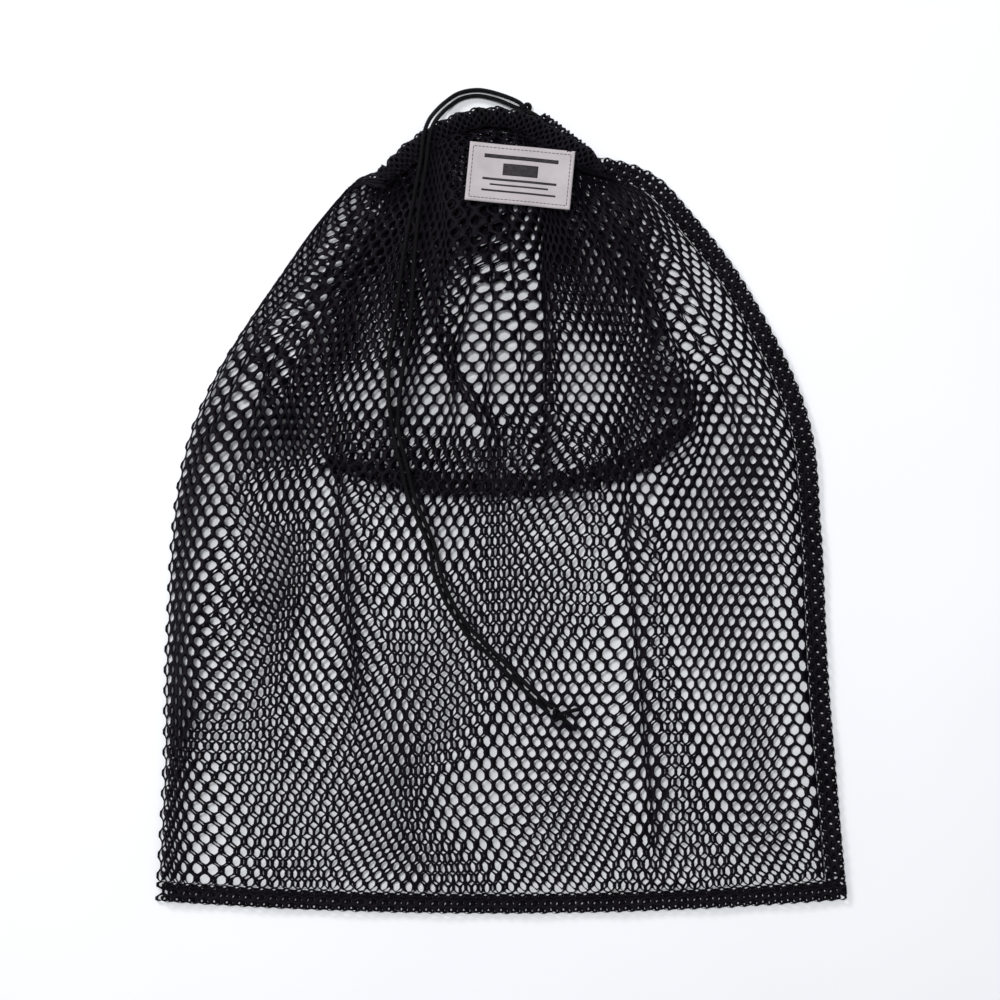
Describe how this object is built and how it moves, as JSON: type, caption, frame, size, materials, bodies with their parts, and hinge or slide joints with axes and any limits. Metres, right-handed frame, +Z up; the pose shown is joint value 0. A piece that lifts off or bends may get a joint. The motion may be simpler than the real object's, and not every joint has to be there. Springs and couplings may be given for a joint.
{
  "type": "mesh laundry bag",
  "caption": "Flat drawstring laundry bag of open hexagonal mesh with sewn side and bottom seams, a tucked inner collar, a drawn cord channel, a long doubled cord and a plain sewn label.",
  "frame": {"origin": "middle of the bag's footprint, on the surface it lies on; the free cord is left out", "axes": "+Z up, +Y from the bottom seam towards the mouth, +X towards the sewn side seam, on the right of a person looking down at the front"},
  "size_m": [0.356, 0.4262, 0.0188],
  "materials": {
    "mesh": "knitted hexagonal polyester mesh, slight sheen",
    "seam": "several layers of the same mesh, sewn flat",
    "thread": "polyester sewing thread",
    "cord": "round braided polyester cord",
    "label": "woven satin label, matt",
    "label_thread": "fine sewing thread"
  },
  "bodies": {
    "bag": {"back_panel": "mesh", "front_panel": "mesh", "side_seam": "seam", "bottom_seam": "seam", "side_seam_stitching": "thread", "bottom_seam_stitching": "thread", "collar_front": "mesh", "collar_back": "mesh", "collar_hem_front": "seam", "collar_hem_back": "seam", "channel_front": "seam", "channel_back": "seam", "channel_turn": "seam", "channel_sleeve": "seam", "channel_stitching_front": "thread", "channel_stitching_back": "thread", "cord_in_channel": "cord", "label": "label", "label_stitching": "label_thread"},
    "drawcord": {"cord_lead_a": "cord", "cord_lead_b": "cord", "exit_knot": "cord", "cord_strand_a": "cord", "cord_strand_b": "cord", "end_knot": "cord", "cord_tail_a": "cord", "cord_tail_b": "cord"}
  },
  "joints": [
    {"name": "drawcord_pull", "type": "slide", "parent": "bag", "child": "drawcord", "axis": [-0.7922, 0.6103, 0], "range_m": [0, 0.025]}
  ]
}
